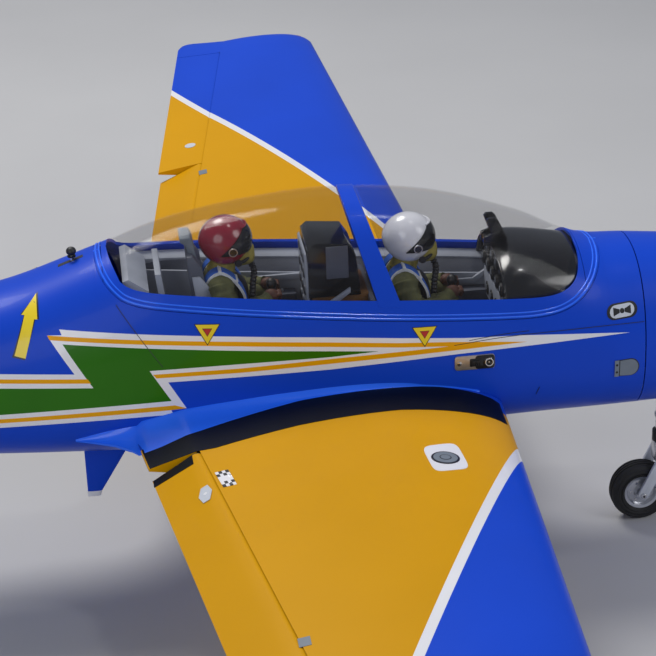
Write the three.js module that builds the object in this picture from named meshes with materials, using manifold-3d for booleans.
// Radio-controlled tandem-seat trainer aircraft, about 1:5.5, in millimetres.
// +X points forward, +Y to the aircraft's left, +Z up.
// Shapes are drawn from the wing datum: the wing's leading edge at the centreline is X 0, Z 0.
// The exported group stands the model on its wheels, with its box's bottom centre at the origin.
import * as THREE from "three";
import { mergeVertices } from "three/addons/utils/BufferGeometryUtils.js";
import Module from "manifold-3d";

const wasm = await Module();
wasm.setup();

// ---------------------------------------------------------------- driving dimensions

const GAP = 0.4; // clearance between pieces that touch on the real model
const NOSE_X = 551;
const TAIL_X = -1243;
const GROUND_Z = -181.5;

// Fuselage outer shape: [X, half width, bottom Z, Z of greatest width, top Z over the canopy].
const STATIONS = [
  [458, 46, 4, 55, 100],
  [430, 53, -5, 53, 105],
  [380, 60, -15, 51, 113],
  [300, 68, -23, 48, 124],
  [220, 76, -28, 46, 135],
  [140, 82, -30, 45, 143],
  [90, 85, -30, 45, 148],
  [30, 87, -30, 45, 178],
  [-60, 89, -32, 44, 208],
  [-160, 90, -33, 44, 219],
  [-250, 90, -34, 45, 213],
  [-330, 88, -34, 46, 198],
  [-400, 85, -32, 48, 173],
  [-490, 79, -28, 52, 144],
  [-600, 69, -21, 58, 127],
  [-720, 58, -10, 64, 119],
  [-860, 46, 10, 71, 115],
  [-1000, 34, 32, 79, 112],
  [-1120, 24, 50, 85, 109],
  [-1195, 13, 62, 88, 105],
];
const BODY_ROUNDNESS = 2.25; // exponent of the superellipse sections
const RING_POINTS = 16;
const SKIN = 3;

const WING = {
  root: 118,
  flapInner: 166,
  flapOuter: 564.5,
  aileronInner: 566,
  aileronOuter: 958,
  tip: 1013,
  flapRest: 15, // degrees down
  nose: (s) => -0.066 * s,
  hinge: (s) => -339.8 + 0.144 * s,
  trail: (s) => -383 + 0.127 * s,
  chord: (s) => 428.6 - 0.2715 * s, // of the profile's thickness curve
  rise: (s) => 0.0661 * s,
  thickness: 0.14,
  camber: 0.0318,
  trailHalf: 1.2,
  trailRise: 2.5,
  place: (x, s, z) => new THREE.Vector3(x, s, z),
};

const TAIL = {
  root: 30,
  tip: 423,
  nose: (s) => -965 - 0.2 * s,
  hinge: () => -1107,
  trail: (s) => -1188 + 0.07 * s,
  chord: (s) => 223 - 0.27 * s,
  rise: () => 92,
  thickness: 0.1,
  camber: 0,
  trailHalf: 1,
  trailRise: 0,
  place: (x, s, z) => new THREE.Vector3(x, s, z),
};

const FIN = {
  root: 104,
  rudderFoot: 64,
  tip: 436,
  nose: (s) => -925 - 0.5 * (s - 112),
  hinge: (s) => -1158 - 0.05 * (s - 112),
  trail: (s) => -1243 + 0.05 * (s - 78),
  chord: (s) => 318 - 0.55 * (s - 112),
  rise: () => 0,
  thickness: 0.085,
  camber: 0,
  trailHalf: 1,
  trailRise: 0,
  place: (x, s, z) => new THREE.Vector3(x, z, s),
};

const THRUST_Z = 55;
const MAIN_WHEEL = { x: -196, y: 342, radius: 50.8, width: 34 };
const NOSE_WHEEL = { x: 161, radius: 32.5, width: 24 };
const HATCH_FRONT_X = 110;

// ---------------------------------------------------------------- geometry helpers

const V = (x, y, z) => new THREE.Vector3(x, y, z);
const rad = THREE.MathUtils.degToRad;

const unindexed = (geometry) => (geometry.index ? geometry.toNonIndexed() : geometry.clone());

// A closed mesh as a manifold-3d solid, and back.
function solid(geometry) {
  const bare = unindexed(geometry);
  bare.deleteAttribute("normal");
  bare.deleteAttribute("uv");
  const merged = mergeVertices(bare, 1e-4);
  const mesh = new wasm.Mesh({
    numProp: 3,
    vertProperties: merged.attributes.position.array,
    triVerts: new Uint32Array(merged.index.array),
  });
  return new wasm.Manifold(mesh);
}

function geometryOf(manifold) {
  const mesh = manifold.getMesh();
  const geometry = new THREE.BufferGeometry();
  geometry.setAttribute("position", new THREE.BufferAttribute(mesh.vertProperties, 3));
  geometry.setIndex(new THREE.BufferAttribute(mesh.triVerts, 1));
  return geometry;
}

const joinAll = (...solids) => solids.reduce((sum, each) => sum.add(each));
const cutAll = (from, ...solids) => solids.reduce((left, each) => left.subtract(each), from);

function moved(geometry, x, y, z) {
  return geometry.translate(x, y, z);
}

function box(low, high) {
  const size = high.map((value, i) => value - low[i]);
  const geometry = new THREE.BoxGeometry(...size);
  const centre = high.map((value, i) => (value + low[i]) / 2);
  return solid(moved(geometry, ...centre));
}

// A cylinder or cone frustum between two points.
function rod(from, to, radius, endRadius = radius, sides = 16) {
  const length = from.distanceTo(to);
  const geometry = new THREE.CylinderGeometry(endRadius, radius, length, sides);
  geometry.translate(0, length / 2, 0);
  const direction = to.clone().sub(from).normalize();
  geometry.applyQuaternion(new THREE.Quaternion().setFromUnitVectors(V(0, 1, 0), direction));
  return solid(moved(geometry, from.x, from.y, from.z));
}

function ball(centre, radii, segments = 10) {
  const geometry = new THREE.SphereGeometry(1, segments, Math.round(segments * 0.7));
  geometry.scale(...radii);
  return solid(moved(geometry, centre.x, centre.y, centre.z));
}

// A solid of revolution about X: the profile lists [x, radius] pairs.
function turnedX(profile, centreZ, sides = 28) {
  const points = profile.map(([x, radius]) => new THREE.Vector2(radius, x));
  const geometry = new THREE.LatheGeometry(points, sides);
  geometry.rotateZ(-Math.PI / 2);
  return outward(moved(geometry, 0, 0, centreZ));
}

// A solid of revolution about Y, for wheels: the profile lists [y, radius] pairs.
// The facets are turned so that one of them lies flat at the bottom.
function turnedY(profile, centre, sides = 24) {
  const points = profile.map(([y, radius]) => new THREE.Vector2(radius, y));
  const geometry = new THREE.LatheGeometry(points, sides);
  geometry.rotateY(Math.PI / sides);
  return outward(moved(geometry, centre.x, centre.y, centre.z));
}

// The same solid with its faces turned out when the profile ran the other way.
function outward(geometry) {
  const made = solid(geometry);
  if (made.volume() > 0) return made;
  const flipped = unindexed(geometry);
  const p = flipped.attributes.position;
  for (let i = 0; i < p.count; i += 3) {
    const a = V(0, 0, 0).fromBufferAttribute(p, i);
    const b = V(0, 0, 0).fromBufferAttribute(p, i + 1);
    p.setXYZ(i, b.x, b.y, b.z);
    p.setXYZ(i + 1, a.x, a.y, a.z);
  }
  return solid(flipped);
}

// A closed skin over rings of equal length, with a fan over each end.
function loft(rings) {
  const count = rings[0].length;
  const positions = [];
  const triangle = (a, b, c) => positions.push(...a.toArray(), ...b.toArray(), ...c.toArray());
  for (let r = 0; r + 1 < rings.length; r += 1) {
    for (let i = 0; i < count; i += 1) {
      const j = (i + 1) % count;
      triangle(rings[r][i], rings[r][j], rings[r + 1][j]);
      triangle(rings[r][i], rings[r + 1][j], rings[r + 1][i]);
    }
  }
  const first = rings[0];
  const last = rings[rings.length - 1];
  const centreOf = (ring) => ring.reduce((sum, p) => sum.add(p), V(0, 0, 0)).divideScalar(count);
  const firstCentre = centreOf(first);
  const lastCentre = centreOf(last);
  for (let i = 0; i < count; i += 1) {
    const j = (i + 1) % count;
    triangle(first[j], first[i], firstCentre);
    triangle(last[i], last[j], lastCentre);
  }
  const geometry = new THREE.BufferGeometry();
  geometry.setAttribute("position", new THREE.Float32BufferAttribute(positions, 3));
  return outward(geometry);
}

// A side-view outline in X and Z, extruded across Y.
function sideProfile(points, y0, y1) {
  const shape = new THREE.Shape(points.map(([x, z]) => new THREE.Vector2(x, z)));
  const geometry = new THREE.ExtrudeGeometry(shape, { depth: y1 - y0, bevelEnabled: false });
  geometry.rotateX(Math.PI / 2);
  return outward(moved(geometry, 0, y1, 0));
}

// A round tube along a smooth path through the given points.
function tube(points, radius, steps, sides = 8) {
  const circle = new THREE.Shape();
  circle.absarc(0, 0, radius, 0, 2 * Math.PI);
  const geometry = new THREE.ExtrudeGeometry(circle, {
    steps,
    curveSegments: sides / 2, // an arc takes two points for each
    extrudePath: new THREE.CatmullRomCurve3(points),
  });
  return outward(geometry);
}

const mirrored = (manifold) => manifold.mirror([0, 1, 0]);

// ---------------------------------------------------------------- fuselage shape

// A smooth curve through one column of the station table.
function stationValue(x, column) {
  const last = STATIONS.length - 1;
  let i = 0;
  while (i < last - 1 && x < STATIONS[i + 1][0]) i += 1;
  const slope = (k) => {
    const a = STATIONS[Math.max(k - 1, 0)];
    const b = STATIONS[Math.min(k + 1, last)];
    return (b[column] - a[column]) / (b[0] - a[0]);
  };
  const [p, q] = [STATIONS[i], STATIONS[i + 1]];
  const h = q[0] - p[0];
  const t = THREE.MathUtils.clamp((x - p[0]) / h, 0, 1);
  const [t2, t3] = [t * t, t * t * t];
  const from = (2 * t3 - 3 * t2 + 1) * p[column] + (t3 - 2 * t2 + t) * h * slope(i);
  return from + (3 * t2 - 2 * t3) * q[column] + (t3 - t2) * h * slope(i + 1);
}

// One closed fuselage section, moved in from the outer shape by the inset.
function bodyRing(x, inset = 0) {
  const width = stationValue(x, 1) - inset;
  const bottom = stationValue(x, 2) + inset;
  const waist = stationValue(x, 3);
  const top = stationValue(x, 4) - inset;
  const power = 2 / BODY_ROUNDNESS;
  const ring = [];
  for (let i = 0; i < RING_POINTS; i += 1) {
    const angle = (2 * Math.PI * i) / RING_POINTS;
    const c = Math.cos(angle);
    const s = Math.sin(angle);
    const y = width * Math.sign(c) * Math.abs(c) ** power;
    const reach = s > 0 ? top - waist : waist - bottom;
    ring.push(V(x, y, waist + reach * Math.sign(s) * Math.abs(s) ** power));
  }
  return ring;
}

function bodySolid(xFront, xRear, inset, step = 75) {
  const count = Math.max(1, Math.ceil((xFront - xRear) / step));
  const rings = [];
  for (let i = 0; i <= count; i += 1) {
    rings.push(bodyRing(xFront + ((xRear - xFront) * i) / count, inset));
  }
  return loft(rings);
}

// Half width of the body's side at a given height.
function bodySideY(x, z) {
  const waist = stationValue(x, 3);
  const reach = z > waist ? stationValue(x, 4) - waist : waist - stationValue(x, 2);
  const share = Math.abs(z - waist) / reach;
  return stationValue(x, 1) * (1 - share ** BODY_ROUNDNESS) ** (1 / BODY_ROUNDNESS);
}

// The seam between hatch and fuselage, and the sill between hatch frame and glass, in side view.
const SEAM = [
  [-396, 168],
  [-386, 153],
  [-368, 141],
  [-309, 133],
  [-204, 120],
  [-107, 109],
  [-8, 101],
  [39, 99],
  [66, 106],
  [86, 120],
  [102, 136],
  [HATCH_FRONT_X, 147],
];
const SILL = [
  [-378, 173],
  [-371, 155],
  [-308, 149],
  [-240, 142],
  [-145, 133],
  [-57, 126],
  [-4, 121],
  [40, 118],
  [60, 121],
  [73, 130],
  [79, 142],
  [82, 151],
];
const ABOVE = 260; // well above the canopy

function shifted(outline, dz) {
  return outline.map(([x, z]) => [x, z + dz]);
}

// The outline moved out by a gap: down along its length, and outwards at its two steep ends.
function widened(outline, gap) {
  const steep = (x) => (x < -355 ? -gap : 0) + (x > 50 ? gap : 0);
  return outline.map(([x, z]) => [x + steep(x), z - gap]);
}

function aboveLine(outline, halfWidth = 120) {
  const [first, last] = [outline[0], outline[outline.length - 1]];
  const closed = [...outline, [last[0] + 2, ABOVE], [first[0] - 2, ABOVE]];
  return sideProfile(closed, -halfWidth, halfWidth);
}

// ---------------------------------------------------------------- lifting surfaces

const PROFILE_STEPS = [0, 0.006, 0.025, 0.06, 0.12, 0.2, 0.32, 0.45, 0.6, 1];

function profileHeights(foil, f) {
  const edge = THREE.MathUtils.clamp(f, 1e-6, 1 - 1e-6);
  const curve = 0.2969 * Math.sqrt(f) - 0.126 * f - 0.3516 * f ** 2 + 0.2843 * f ** 3 - 0.1015 * f ** 4;
  const mean = -foil.camber * ((1 - edge) * Math.log(1 - edge) + edge * Math.log(edge));
  return { mean, half: 5 * foil.thickness * curve };
}

// One section at span position s: a curved profile up to the hinge line and a wedge behind it.
// The reach draws the outline in towards its middle, for a rounded tip.
function foilSection(foil, s, share = 1, reach = 1) {
  const chord = foil.chord(s);
  const nose = foil.nose(s);
  const middle = (nose + foil.trail(s)) / 2;
  const hingeShare = (nose - foil.hinge(s)) / chord;
  const upper = [];
  const lower = [];
  const add = (x, mean, half) => {
    const drawn = middle + (x - middle) * reach;
    upper.push(foil.place(drawn, s, foil.rise(s) + mean + half * share));
    lower.push(foil.place(drawn, s, foil.rise(s) + mean - half * share));
  };
  for (const step of PROFILE_STEPS) {
    const { mean, half } = profileHeights(foil, step * hingeShare);
    add(nose - step * hingeShare * chord, mean * chord, half * chord);
  }
  add(foil.trail(s), foil.trailRise, foil.trailHalf);
  return [...upper.reverse(), ...lower.slice(1)];
}

// The hinge axis passes through the middle of the profile at the hinge line.
function hingeAt(foil, s) {
  const chord = foil.chord(s);
  const { mean, half } = profileHeights(foil, (foil.nose(s) - foil.hinge(s)) / chord);
  return { x: foil.hinge(s), z: foil.rise(s) + mean * chord, radius: half * chord };
}

const hingePoint = (foil, s) => foil.place(foil.hinge(s), s, hingeAt(foil, s).z);

// The round nose of a hinged surface, or with an extra radius the cove that it turns in.
function hingeBarrel(foil, s0, s1, extra, sides = 24) {
  const rings = [s0, s1].map((s) => {
    const { x, z, radius } = hingeAt(foil, s);
    const ring = [];
    for (let i = 0; i < sides; i += 1) {
      const angle = (2 * Math.PI * i) / sides;
      ring.push(foil.place(x + (radius + extra) * Math.cos(angle), s, z + (radius + extra) * Math.sin(angle)));
    }
    return ring;
  });
  return loft(rings);
}

function behindHinge(foil, s0, s1) {
  const rings = [s0, s1].map((s) => {
    const { x, z } = hingeAt(foil, s);
    const corners = [[x, z + 90], [x - 150, z + 90], [x - 150, z - 90], [x, z - 90]];
    return corners.map(([cx, cz]) => foil.place(cx, s, cz));
  });
  return loft(rings);
}

function foilSolid(foil, root, tip, tipRound = true) {
  const rounded = [
    foilSection(foil, tip - 26),
    foilSection(foil, tip - 10, 0.86, 0.95),
    foilSection(foil, tip - 3, 0.6, 0.87),
    foilSection(foil, tip, 0.3, 0.78),
  ];
  return loft([foilSection(foil, root), ...(tipRound ? rounded : [foilSection(foil, tip)])]);
}

// The space between a surface's skins, from behind its leading edge to its rear spar.
function foilHollow(foil, s0, s1, skin, rearSpar) {
  const rings = [s0, s1].map((s) => {
    const chord = foil.chord(s);
    const [front, rear] = [foil.nose(s) - 3 * skin, foil.hinge(s) + rearSpar];
    const upper = [];
    const lower = [];
    for (const share of [0, 0.15, 0.35, 0.6, 1]) {
      const x = front + (rear - front) * share;
      const { mean, half } = profileHeights(foil, (foil.nose(s) - x) / chord);
      const reach = Math.max(half * chord - skin, 0.8);
      upper.push(foil.place(x, s, foil.rise(s) + mean * chord + reach));
      lower.unshift(foil.place(x, s, foil.rise(s) + mean * chord - reach));
    }
    return [...upper, ...lower];
  });
  return loft(rings);
}

function hingedSurface(foil, s0, s1) {
  const tail = foilSolid(foil, s0, s1, false).intersect(behindHinge(foil, s0 - 5, s1 + 5));
  return hingeBarrel(foil, s0, s1, -0.1).add(tail);
}

// A bent horn below a hinged surface of the wing.
function controlHorn(foil, s) {
  const { x, z, radius } = hingeAt(foil, s);
  const outline = [
    [x - 6, z],
    [x - 4, z - radius - 13],
    [x - 10, z - radius - 15],
    [x - 24, z - 2],
  ];
  return sideProfile(outline, s - 1.5, s + 1.5);
}

// ---------------------------------------------------------------- model assembly

const aircraft = new THREE.Group();
aircraft.position.set(-(NOSE_X + TAIL_X) / 2, 0, -GROUND_Z);

const paint = (color, roughness, metalness = 0) => ({ color, roughness, metalness });
const PAINT = {
  blue: paint(0x1438b4, 0.25),
  yellow: paint(0xf2a413, 0.3),
  glass: { ...paint(0xd9e0e6, 0.05), transparent: true, opacity: 0.3 },
  grey: paint(0x8b93a0, 0.6),
  darkGrey: paint(0x2b2e33, 0.5),
  black: paint(0x0b0b0c, 0.35),
  rubber: paint(0x161616, 0.85),
  metal: paint(0xc9ccd1, 0.3, 0.9),
  steel: paint(0x9a9ea5, 0.35, 0.9),
  carbon: paint(0x17181a, 0.3),
  wood: paint(0xc9a26b, 0.7),
  suit: paint(0x66683c, 0.85),
  battery: paint(0x2a4f9e, 0.6),
  board: paint(0x1d4030, 0.5),
};

function addPiece(name, manifold, finish, parent = aircraft) {
  const mesh = new THREE.Mesh(geometryOf(manifold), new THREE.MeshStandardMaterial(finish));
  mesh.name = name;
  parent.add(mesh);
  return mesh;
}

// ---------------------------------------------------------------- fuselage, cowl and firewall

const FUSELAGE_FRONT_X = 139;
const FUSELAGE_REAR_X = -1143;
const COWL_REAR_X = 140;
const COWL_FRONT_X = 458;
const WING_TUBE = { x: -118, z: 20, radius: 9, halfLength: 300 };
const LATCH = { x: -419, z: 156 };
const SWITCH = { x: -35, z: 61, halfLength: 20, halfHeight: 8 };

function wingStub() {
  const half = WING.root - GAP;
  const side = foilSection(WING, half);
  return loft([side.map((p) => V(p.x, -half, p.z)), side]);
}

function tubeHole(halfLength, extra) {
  const { x, z, radius } = WING_TUBE;
  return rod(V(x, -halfLength, z), V(x, halfLength, z), radius + extra);
}

function switchPocket(extra) {
  const { x, z, halfLength, halfHeight } = SWITCH;
  const sideY = bodySideY(x, z);
  return box(
    [x - halfLength - extra, -sideY - 2, z - halfHeight - extra],
    [x + halfLength + extra, -sideY + 1.5 + extra, z + halfHeight + extra],
  );
}

function fuselageShell() {
  const outer = bodySolid(FUSELAGE_FRONT_X, FUSELAGE_REAR_X, 0).add(wingStub());
  const hollow = bodySolid(FUSELAGE_FRONT_X + 2, FUSELAGE_REAR_X + 12, SKIN);
  const tailplaneSlot = box([-1106, -60, 79], [-964, 60, 105]);
  const finSlot = box([-1149, -4.6, 96], [-1010, 4.6, 125]);
  const joinerHole = rod(V(TAIL.hinge(0), -40, 92), V(TAIL.hinge(0), 40, 92), 5);
  const latchSlot = box([LATCH.x - 14, -2.6, LATCH.z - 3], [LATCH.x + 5, 2.6, 200]);
  return cutAll(
    outer,
    hollow,
    aboveLine(widened(SEAM, GAP)),
    tailplaneSlot,
    finSlot,
    joinerHole,
    tubeHole(WING.root, GAP),
    latchSlot,
    switchPocket(GAP),
  );
}

const EXHAUST_PATH = [V(424, 40, 46), V(404, 58, 47), V(380, 72, 47), V(352, 80, 46)];

function chinScoop(inset) {
  const ring = (x, z, ry, rz) => {
    const points = [];
    for (let i = 0; i < 14; i += 1) {
      const angle = (2 * Math.PI * i) / 14;
      points.push(V(x, (ry - inset) * Math.cos(angle), z + (rz - inset) * Math.sin(angle)));
    }
    return points;
  };
  return loft([
    ring(452 + inset, -2, 27, 19),
    ring(430, -5, 29, 20),
    ring(390, -11, 28, 18),
    ring(340, -18, 24, 12),
    ring(300, -21, 18, 7),
  ]);
}

function cowl() {
  const outer = bodySolid(COWL_FRONT_X, COWL_REAR_X, 0).add(chinScoop(0));
  const hollow = bodySolid(COWL_FRONT_X - 4, COWL_REAR_X - 2, 2.5);
  const exhaustHole = tube([V(438, 22, 46), ...EXHAUST_PATH, V(330, 84, 46)], 14, 8, 12);
  return cutAll(
    outer,
    hollow,
    chinScoop(3),
    rod(V(450, 0, THRUST_Z), V(470, 0, THRUST_Z), 34, 34, 28),
    exhaustHole,
    mirrored(exhaustHole),
    box([150, -17, -90], [214, 17, 0]),
  );
}

function exhaustStub() {
  const outer = tube(EXHAUST_PATH, 12, 6, 12);
  const bore = tube([V(430, 34, 46), ...EXHAUST_PATH.slice(1, 3), V(340, 84, 46)], 10, 6, 12);
  return outer.subtract(bore);
}

const MOTOR_FRONT_X = 388;

function firewall() {
  const plate = bodySolid(FUSELAGE_FRONT_X - 0.4, FUSELAGE_FRONT_X - 6.4, SKIN + 2 * GAP);
  const standoffs = [];
  for (const y of [-32, 32]) {
    for (const dz of [-32, 32]) {
      const z = THRUST_Z + dz;
      standoffs.push(rod(V(FUSELAGE_FRONT_X - 3, y, z), V(MOTOR_FRONT_X, y, z), 6, 6, 12));
    }
  }
  const motorPlate = box([MOTOR_FRONT_X - 5, -38, THRUST_Z - 38], [MOTOR_FRONT_X, 38, THRUST_Z + 38]);
  return joinAll(plate, ...standoffs, motorPlate);
}

addPiece("fuselage_shell", fuselageShell(), PAINT.blue);
addPiece("cowl", cowl(), PAINT.blue);
addPiece("firewall", firewall(), PAINT.wood);
addPiece("exhaust_left", exhaustStub(), PAINT.steel);
addPiece("exhaust_right", mirrored(exhaustStub()), PAINT.steel);

// ---------------------------------------------------------------- motor, propeller and spinner

const SHAFT_RADIUS = 4;
const PROPELLER_X = 477;
const BLADES = 3;
const BLADE_RADIUS = 203;

function motorStator() {
  const x = MOTOR_FRONT_X + GAP;
  return turnedX([[x, 0], [x, 26], [x + 7, 26], [x + 9, 12], [x + 42, 12], [x + 42, 0]], THRUST_Z, 24);
}

function motorCan() {
  const x = MOTOR_FRONT_X + 11;
  const profile = [
    [x + 38, 0],
    [x + 38, 14],
    [x, 14],
    [x, 29],
    [x + 3, 31.5],
    [x + 44, 31.5],
    [x + 48, 28],
    [x + 48, SHAFT_RADIUS],
    [PROPELLER_X + 17, SHAFT_RADIUS],
    [PROPELLER_X + 17, 0],
  ];
  return turnedX(profile, THRUST_Z);
}

// A blade section, twisted more near the hub, at a distance from the shaft.
function bladeSection(r) {
  const share = r / BLADE_RADIUS;
  const chord = 40 * Math.sin(Math.PI * (0.1 + 0.82 * share));
  const pitch = Math.atan2(48, r + 12);
  const half = THREE.MathUtils.lerp(5, 0.9, share);
  const ring = [];
  for (let i = 0; i < 12; i += 1) {
    const angle = (2 * Math.PI * i) / 12;
    const along = (chord / 2) * Math.cos(angle);
    const thick = half * Math.sin(angle);
    ring.push(V(
      along * Math.sin(pitch) + thick * Math.cos(pitch),
      along * Math.cos(pitch) - thick * Math.sin(pitch),
      r,
    ));
  }
  return ring;
}

function propeller() {
  const stations = [10, 32, 60, 100, 140, 175, 195, BLADE_RADIUS];
  const blade = loft(stations.map(bladeSection));
  const hub = rod(V(-11, 0, 0), V(11, 0, 0), 17, 17, 24);
  const blades = [];
  for (let i = 0; i < BLADES; i += 1) {
    blades.push(blade.rotate([(i * 360) / BLADES, 0, 0]));
  }
  const shaftHole = rod(V(-14, 0, 0), V(14, 0, 0), SHAFT_RADIUS + GAP);
  return cutAll(joinAll(hub, ...blades), shaftHole).translate([PROPELLER_X, 0, THRUST_Z]);
}

function spinner() {
  const back = COWL_FRONT_X + 1.5;
  const outline = [[14, 42], [38, 37.5], [64, 26.5], [82, 14], [NOSE_X - back - 2, 5]];
  const outer = [[back, 0], [back, 42], ...outline.map(([dx, r]) => [back + dx, r]), [NOSE_X, 0]];
  const hollow = [[3, 0], [3, 39.5], [14, 39.5], [37, 34.8], [62, 23.5], [79, 9], [80, 0]];
  const shell = turnedX(outer, THRUST_Z).subtract(turnedX(hollow.map(([dx, r]) => [back + dx, r]), THRUST_Z));
  const slots = [];
  for (let i = 0; i < BLADES; i += 1) {
    const slot = box([back + 3.2, -15, 18], [PROPELLER_X + 17, 15, 60]);
    slots.push(slot.rotate([(i * 360) / BLADES, 0, 0]).translate([0, 0, THRUST_Z]));
  }
  const shaftHole = rod(V(back - 2, 0, THRUST_Z), V(back + 5, 0, THRUST_Z), SHAFT_RADIUS + GAP);
  return cutAll(shell, shaftHole, ...slots);
}

addPiece("motor_stator", motorStator(), PAINT.metal);
addPiece("motor_can", motorCan(), PAINT.darkGrey);
addPiece("propeller", propeller(), PAINT.carbon);
addPiece("spinner", spinner(), PAINT.blue);

// ---------------------------------------------------------------- equipment inside

function tailServos() {
  const tray = box([-470, -44, -3], [-392, 44, 0]);
  const servo = (y) => box([-452, y - 10, -16], [-412, y + 10, 20]);
  return joinAll(tray, servo(-20), servo(20));
}

addPiece("equipment_tray", box([-330, -26, -21], [104, 26, -18]), PAINT.wood);
addPiece("front_flight_battery", box([152, -24, 32], [306, 24, 78]), PAINT.battery);
addPiece("rear_flight_battery", box([-50, -24, -17.5], [104, 24, 29]), PAINT.battery);
addPiece("receiver", box([-300, -14, -17.5], [-250, 14, -4]), PAINT.darkGrey);
addPiece("speed_controller", box([312, -19, 36], [378, 19, 56]), PAINT.board);
addPiece("tail_servos", tailServos(), PAINT.darkGrey);

// ---------------------------------------------------------------- hatch, glass and cockpit

// The blue hoop between the two cockpits leans forward towards its feet.
const HOOP = [[-154, ABOVE], [-138, ABOVE], [-106, 118], [-126, 118]];
const HATCH_REAR_X = -402;

function bodyBand(insetOuter, insetInner) {
  const outer = bodySolid(HATCH_FRONT_X + 4, HATCH_REAR_X, insetOuter, 40);
  return outer.subtract(bodySolid(HATCH_FRONT_X + 5, HATCH_REAR_X - 1, insetInner, 40));
}

function hatchFrame() {
  const skin = bodyBand(0, SKIN);
  const band = skin.intersect(aboveLine(SEAM)).subtract(aboveLine(SILL));
  const hoop = skin.intersect(sideProfile(HOOP, -120, 120)).intersect(aboveLine(shifted(SILL, -2)));
  return band.add(hoop);
}

// The glass on one side of the hoop, given the hoop's edge there and the far end of the pane.
function canopyGlass([high, low], endX) {
  const away = Math.sign(endX - high[0]) * GAP;
  const side = [[high[0] + away, ABOVE], [low[0] + away, low[1]], [low[0] + away, 60], [endX, 60], [endX, ABOVE]];
  const pane = bodyBand(0.3, 1.8).intersect(aboveLine(widened(SILL, -GAP)));
  return pane.intersect(sideProfile(side, -120, 120));
}

const PIT = { rear: -350, front: 36, floor: 52, half: 45 };

function cockpitTub() {
  const between = aboveLine(shifted(SEAM, 4)).subtract(aboveLine(shifted(SILL, -5)));
  const deck = bodySolid(40, -366, SKIN + 1.4).intersect(between);
  const { rear, front, floor, half } = PIT;
  const pitOutside = box([rear, -half - 3, floor], [front, half + 3, 100]);
  const walls = [[rear, floor], [front, floor], [front, 108], [-20, 112], [rear, 148]];
  const rise = sideProfile(walls, -half - 3, half + 3);
  const pitInside = box([rear + 3, -half, floor + 3], [front - 3, half, 220]);
  return cutAll(joinAll(deck, pitOutside, rise), pitInside);
}

const COCKPITS = {
  rear: { x: -262, helmetZ: 176 },
  front: { x: -82, helmetZ: 163 },
};

function seat({ x, helmetZ }) {
  const base = PIT.floor + 3 + GAP;
  const pan = helmetZ - 98;
  const back = x - 34;
  const outline = [
    [x + 14, base],
    [x + 14, pan],
    [back + 1, pan],
    [back - 2, helmetZ + 8],
    [back - 9, helmetZ + 12],
    [back - 12, pan - 8],
    [back - 10, base],
  ];
  return sideProfile(outline, -27, 27);
}

function pilot({ x, helmetZ }) {
  const z = helmetZ;
  const parts = [
    ball(V(x - 8, 0, z - 58), [20, 33, 37]),
    rod(V(x - 4, 0, z - 36), V(x, 0, z - 12), 12, 12, 8),
    ball(V(x, 0, z), [27, 24, 26.5], 12),
  ];
  for (const side of [-1, 1]) {
    const shoulder = V(x - 8, side * 27, z - 34);
    const elbow = V(x + 10, side * 33, z - 68);
    const hand = V(x + 48, side * 22, z - 64);
    parts.push(rod(shoulder, elbow, 10, 9, 8));
    parts.push(rod(elbow.clone().add(V(-6, 2 * side, 0)), hand, 9, 7, 8));
    parts.push(rod(V(x - 4, side * 14, z - 84), V(x + 42, side * 16, z - 82), 11, 9, 8));
  }
  return joinAll(...parts);
}

function rearPanel() {
  const hood = sideProfile([[-192, 118], [-192, 176], [-176, 186], [-146, 182], [-146, 112]], -33, 33);
  return hood.subtract(box([-193, -27, 124], [-186, 27, 172]));
}

function frontPanel() {
  const dome = ball(V(22, 0, 112), [62, 54, 43], 16);
  const below = box([-60, -80, 40], [100, 80, 118.5]);
  const behind = box([-60, -80, 100], [-20, 80, 200]);
  const sight = joinAll(box([-8, -9, 140], [4, 9, 156]), box([0, -9, 150], [2.4, 9, 178]));
  return cutAll(dome, below, behind).add(sight);
}

addPiece("hatch_frame", hatchFrame(), PAINT.blue);
addPiece("rear_canopy_glass", canopyGlass([HOOP[0], HOOP[3]], HATCH_REAR_X), PAINT.glass);
addPiece("front_canopy_glass", canopyGlass([HOOP[1], HOOP[2]], 96), PAINT.glass);
addPiece("cockpit_tub", cockpitTub(), PAINT.grey);
for (const [place, cockpit] of Object.entries(COCKPITS)) {
  addPiece(`${place}_seat`, seat(cockpit), PAINT.grey);
  addPiece(`${place}_pilot`, pilot(cockpit), PAINT.suit);
}
addPiece("rear_instrument_hood", rearPanel(), PAINT.black);
addPiece("front_coaming", frontPanel(), PAINT.black);

// ---------------------------------------------------------------- latch and power switch

function hatchLatch() {
  const { x, z } = LATCH;
  const bolt = rod(V(x - 3, 0, z), V(x + 26, 0, z), 3, 3, 12);
  const stem = rod(V(x, 0, z), V(x, 0, z + 19), 1.8, 1.8, 10);
  return joinAll(bolt, stem, ball(V(x, 0, z + 20), [5, 5, 4.4], 12));
}

const SLIDER = { x: SWITCH.x + 1, halfLength: 4, halfHeight: 2.4 };

function switchPlate() {
  const { x, z, halfLength, halfHeight } = SWITCH;
  const y = -bodySideY(x, z);
  const plate = box([x - halfLength, y - 1.4, z - halfHeight], [x + halfLength, y + 1.4, z + halfHeight]);
  const window = box(
    [SLIDER.x - SLIDER.halfLength - 4.5, y - 3, z - SLIDER.halfHeight - GAP],
    [SLIDER.x + SLIDER.halfLength + 4.5, y + 0.4, z + SLIDER.halfHeight + GAP],
  );
  const jack = rod(V(x + 12, y, z), V(x + 12, y - 3.4, z), 5, 4.4, 16);
  return joinAll(plate, jack).subtract(window);
}

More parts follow.
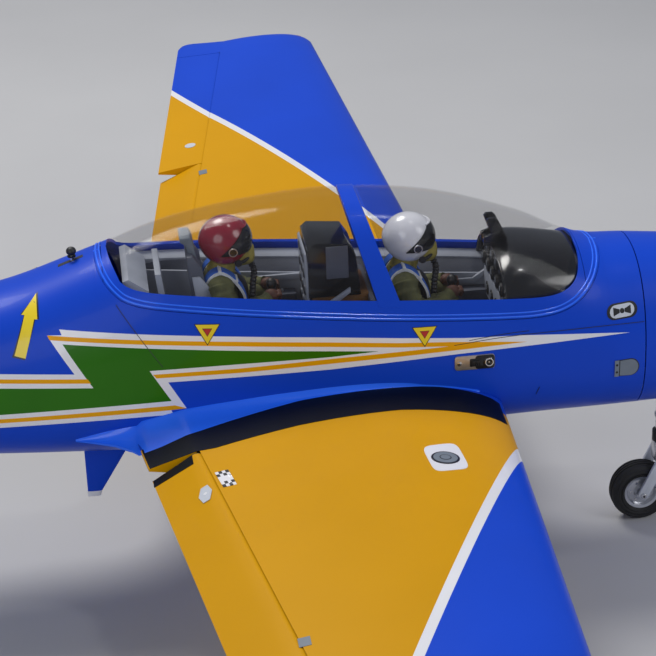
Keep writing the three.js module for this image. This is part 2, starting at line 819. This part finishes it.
function switchSlider() {
  const { x, halfLength, halfHeight } = SLIDER;
  const y = -bodySideY(SWITCH.x, SWITCH.z);
  const z = SWITCH.z;
  return box([x - halfLength, y - 4.2, z - halfHeight], [x + halfLength, y, z + halfHeight]);
}

addPiece("hatch_latch", hatchLatch(), PAINT.black);
addPiece("switch_plate", switchPlate(), PAINT.metal);
addPiece("switch_slider", switchSlider(), PAINT.black);

// ---------------------------------------------------------------- wing and its moving surfaces

const GEAR_PLATE = { x: -176, y: 306, halfX: 22, halfY: 14, topZ: 12 };

function gearPocket() {
  const { x, y, halfX, halfY, topZ } = GEAR_PLATE;
  return box([x - halfX, y - halfY, -60], [x + halfX, y + halfY, topZ + GAP]);
}

// The bay between the skins, open at the root rib, with a solid block left around the gear leg.
function wingHollow() {
  const { x, y } = GEAR_PLATE;
  const block = box([x - 32, y - 22, -60], [x + 32, y + 22, 90]);
  return foilHollow(WING, WING.root - 1, WING.tip - 60, 3, 24).subtract(block);
}

// The flap needs more room at its root, where its end face swings inboard as it goes down.
function wingPanel() {
  const inner = WING.flapInner - 3;
  const outer = WING.aileronOuter + 1;
  return cutAll(
    foilSolid(WING, WING.root, WING.tip),
    behindHinge(WING, inner, outer),
    hingeBarrel(WING, inner, outer, 0.9),
    wingHollow(),
    tubeHole(WING_TUBE.halfLength + 8, GAP),
    gearPocket(),
  );
}

// A surface modelled straight is then turned down about its hinge line by the rest angle.
function turnedAboutHinge(manifold, foil, s0, s1, degreesDown) {
  const root = hingePoint(foil, s0);
  const axis = hingePoint(foil, s1).sub(root).normalize();
  const turn = new THREE.Matrix4().makeRotationAxis(axis, -rad(degreesDown));
  const whole = new THREE.Matrix4()
    .makeTranslation(root.x, root.y, root.z)
    .multiply(turn)
    .multiply(new THREE.Matrix4().makeTranslation(-root.x, -root.y, -root.z));
  return manifold.transform(whole.elements);
}

function flap() {
  const straight = hingedSurface(WING, WING.flapInner, WING.flapOuter).add(controlHorn(WING, 257));
  return turnedAboutHinge(straight, WING, WING.flapInner, WING.flapOuter, WING.flapRest);
}

function aileron() {
  return hingedSurface(WING, WING.aileronInner, WING.aileronOuter).add(controlHorn(WING, 631));
}

const WING_PIECES = { wing: wingPanel(), flap: flap(), aileron: aileron() };
for (const [name, piece] of Object.entries(WING_PIECES)) {
  addPiece(`left_${name}`, piece, PAINT.yellow);
  addPiece(`right_${name}`, mirrored(piece), PAINT.yellow);
}
addPiece("wing_tube", tubeHole(WING_TUBE.halfLength, 0), PAINT.carbon);

// ---------------------------------------------------------------- tail

function tailplane() {
  const half = foilSolid(TAIL, 0, TAIL.tip);
  const side = cutAll(
    half,
    behindHinge(TAIL, -1, TAIL.tip + 5),
    hingeBarrel(TAIL, -1, TAIL.tip + 5, 0.8),
    foilHollow(TAIL, -0.1, TAIL.tip - 40, 2, 18),
  );
  const lighteningHole = rod(V(-1030, 0, 70), V(-1030, 0, 92), 6, 6, 12);
  return side.add(mirrored(side)).subtract(lighteningHole);
}

function elevator() {
  const half = foilSolid(TAIL, TAIL.root, TAIL.tip).intersect(behindHinge(TAIL, 0, TAIL.tip + 5));
  const nose = hingeBarrel(TAIL, TAIL.root, TAIL.tip - 26, -0.1);
  const side = half.add(nose);
  const x = TAIL.hinge(0);
  const z = TAIL.rise(0);
  const joiner = rod(V(x, -TAIL.root - 5, z), V(x, TAIL.root + 5, z), 2.5, 2.5, 12);
  return joinAll(side, mirrored(side), joiner);
}

function fin() {
  const blade = foilSolid(FIN, FIN.root, FIN.tip).subtract(foilHollow(FIN, FIN.root - 1, FIN.tip - 40, 2.4, 18));
  const [low, high] = [FIN.root - 5, FIN.tip + 5];
  const cut = cutAll(blade, behindHinge(FIN, low, high), hingeBarrel(FIN, low, high, 0.8));
  const dorsal = sideProfile([[-760, 116], [-948, 112], [-1000, 112], [-975, 168]], -1.6, 1.6);
  const root = box([-1143, -4, 104.6], [-1020, 4, 118]);
  const bodyRoom = bodySolid(-640, FUSELAGE_REAR_X - 1, -1);
  const outside = cut.add(dorsal).subtract(bodyRoom);
  return outside.add(root);
}

function rudder() {
  const blade = foilSolid(FIN, FIN.rudderFoot, FIN.tip).intersect(behindHinge(FIN, 0, FIN.tip + 5));
  return blade.add(hingeBarrel(FIN, FIN.rudderFoot, FIN.tip - 26, -0.1));
}

function ventralAntenna() {
  const rings = [
    [[-371, -28], [-424, -28], 2.4],
    [[-409, -98], [-424, -98], 1],
  ].map(([front, rear, half]) => {
    const middle = (front[0] + rear[0]) / 2;
    return [V(front[0], 0, front[1]), V(middle, half, front[1]), V(rear[0], 0, rear[1]), V(middle, -half, front[1])];
  });
  return loft(rings).subtract(bodySolid(-300, -500, -GAP));
}

addPiece("tailplane", tailplane(), PAINT.yellow);
addPiece("elevator", elevator(), PAINT.yellow);
addPiece("fin", fin(), PAINT.blue);
addPiece("rudder", rudder(), PAINT.yellow);
addPiece("ventral_antenna", ventralAntenna(), PAINT.blue);

// ---------------------------------------------------------------- undercarriage

const FLAT_DROP = Math.cos(Math.PI / 24); // a 24-sided tyre stands on a facet
const PIN_RADIUS = 2.5;

function wheel(centre, radius, width, side, parent = aircraft) {
  const half = width / 2;
  const rim = radius * 0.56;
  const hub = [
    [-half * 0.8, PIN_RADIUS + GAP],
    [-half * 0.7, rim],
    [half * 0.7, rim],
    [half * 0.8, PIN_RADIUS + GAP],
  ];
  const tyre = [
    [-half * 0.66, rim + GAP],
    [-half, rim + (radius - rim) * 0.4],
    [-half * 0.6, radius],
    [half * 0.6, radius],
    [half, rim + (radius - rim) * 0.4],
    [half * 0.66, rim + GAP],
  ];
  addPiece(`${side}_hub`, turnedY([...hub, hub[0]], centre), PAINT.metal, parent);
  addPiece(`${side}_tyre`, turnedY([...tyre, tyre[0]], centre), PAINT.rubber, parent);
}

const NOSE_LEG = { x: 182, top: 26, pivotZ: -106, radius: 6 };
const NOSE_AXLE = V(NOSE_WHEEL.x, 0, GROUND_Z + NOSE_WHEEL.radius * FLAT_DROP);

function noseGearMount() {
  const { x, top, radius } = NOSE_LEG;
  const backPlate = box([FUSELAGE_FRONT_X, -24, -21], [FUSELAGE_FRONT_X + 5, 24, 19]);
  const upperArm = box([FUSELAGE_FRONT_X + 2, -11, 8], [x + 11, 11, 18]);
  const lowerArm = box([FUSELAGE_FRONT_X + 2, -11, -21], [x + 11, 11, -11]);
  return cutAll(joinAll(backPlate, upperArm, lowerArm), rod(V(x, 0, -60), V(x, 0, top), radius + GAP));
}

function noseLeg() {
  const { x, top, pivotZ, radius } = NOSE_LEG;
  const strut = rod(V(x, 0, pivotZ + 8), V(x, 0, top), radius);
  const collar = rod(V(x, 0, -92), V(x, 0, -80), 9);
  const stop = rod(V(x, 0, -32), V(x, 0, -25), 9);
  const tiller = box([x - 4, -22, top - 5], [x + 4, 6, top - 1]);
  const knuckle = box([x - 8, -8, pivotZ - 8], [x + 8, 8, pivotZ + 14]);
  const pivotHole = rod(V(x, -20, pivotZ), V(x, 20, pivotZ), PIN_RADIUS + GAP);
  return joinAll(strut, collar, stop, tiller, knuckle).subtract(pivotHole);
}

function slab(from, to, width, y0, y1) {
  const direction = V(to.x - from.x, 0, to.z - from.z).normalize().multiplyScalar(width / 2);
  const corners = [
    [from.x - direction.x - direction.z, from.z - direction.z + direction.x],
    [to.x + direction.x - direction.z, to.z + direction.z + direction.x],
    [to.x + direction.x + direction.z, to.z + direction.z - direction.x],
    [from.x - direction.x + direction.z, from.z - direction.z - direction.x],
  ];
  return sideProfile(corners, y0, y1);
}

function noseArm() {
  const pivot = V(NOSE_LEG.x, 0, NOSE_LEG.pivotZ);
  const inner = NOSE_WHEEL.width / 2 + 1;
  const pin = (at) => rod(V(at.x, -inner - 2, at.z), V(at.x, inner + 2, at.z), PIN_RADIUS, PIN_RADIUS, 12);
  return joinAll(
    slab(pivot, NOSE_AXLE, 10, inner, inner + 4),
    slab(pivot, NOSE_AXLE, 10, -inner - 4, -inner),
    pin(pivot),
    pin(NOSE_AXLE),
  );
}

addPiece("nose_gear_mount", noseGearMount(), PAINT.metal);
addPiece("nose_leg", noseLeg(), PAINT.metal);
addPiece("nose_arm", noseArm(), PAINT.metal);
wheel(NOSE_AXLE, NOSE_WHEEL.radius, NOSE_WHEEL.width, "nose");

const MAIN_PIVOT = V(GEAR_PLATE.x + 2, GEAR_PLATE.y, -100);
const MAIN_AXLE = V(MAIN_WHEEL.x, MAIN_WHEEL.y, GROUND_Z + MAIN_WHEEL.radius * FLAT_DROP);

function mainLeg() {
  const { x, y, halfX, halfY, topZ } = GEAR_PLATE;
  const plate = box([x - halfX + GAP, y - halfY + GAP, topZ - 8], [x + halfX - GAP, y + halfY - GAP, topZ]);
  const strut = rod(V(x, y, topZ - 4), V(x, y, MAIN_PIVOT.z + 8), 7.5);
  const sleeve = rod(V(x, y, -64), V(x, y, -20), 9.5);
  const knuckle = box([x - 8, y - 9, MAIN_PIVOT.z - 8], [x + 10, y + 9, MAIN_PIVOT.z + 14]);
  const pivotHole = rod(V(MAIN_PIVOT.x, y - 20, MAIN_PIVOT.z), V(MAIN_PIVOT.x, y + 20, MAIN_PIVOT.z), 3.4);
  return joinAll(plate, strut, sleeve, knuckle).subtract(pivotHole);
}

// The arm stands between leg and wheel, with a pin into the leg and a stub axle for the wheel.
function mainArm() {
  const { y } = MAIN_PIVOT;
  const wheelInner = MAIN_WHEEL.y - MAIN_WHEEL.width / 2;
  const outer = wheelInner + MAIN_WHEEL.width + 3;
  const stub = [V(MAIN_AXLE.x, y + 12, MAIN_AXLE.z), V(MAIN_AXLE.x, outer, MAIN_AXLE.z)];
  const cap = [V(MAIN_AXLE.x, outer - 0.5, MAIN_AXLE.z), V(MAIN_AXLE.x, outer + 3, MAIN_AXLE.z)];
  return joinAll(
    slab(MAIN_PIVOT, MAIN_AXLE, 13, y + 10, y + 15),
    rod(V(MAIN_PIVOT.x, y - 11, MAIN_PIVOT.z), V(MAIN_PIVOT.x, y + 12, MAIN_PIVOT.z), 3, 3, 12),
    rod(...stub, PIN_RADIUS, PIN_RADIUS, 12),
    rod(...cap, 5, 4, 12),
  );
}

const MAIN_PIECES = { leg: mainLeg(), arm: mainArm() };
for (const [side, sign] of [["left", 1], ["right", -1]]) {
  for (const [name, piece] of Object.entries(MAIN_PIECES)) {
    addPiece(`${side}_main_${name}`, sign > 0 ? piece : mirrored(piece), PAINT.metal);
  }
  const centre = V(MAIN_AXLE.x, sign * MAIN_AXLE.y, MAIN_AXLE.z);
  wheel(centre, MAIN_WHEEL.radius, MAIN_WHEEL.width, `${side}_main`);
}

export default aircraft;
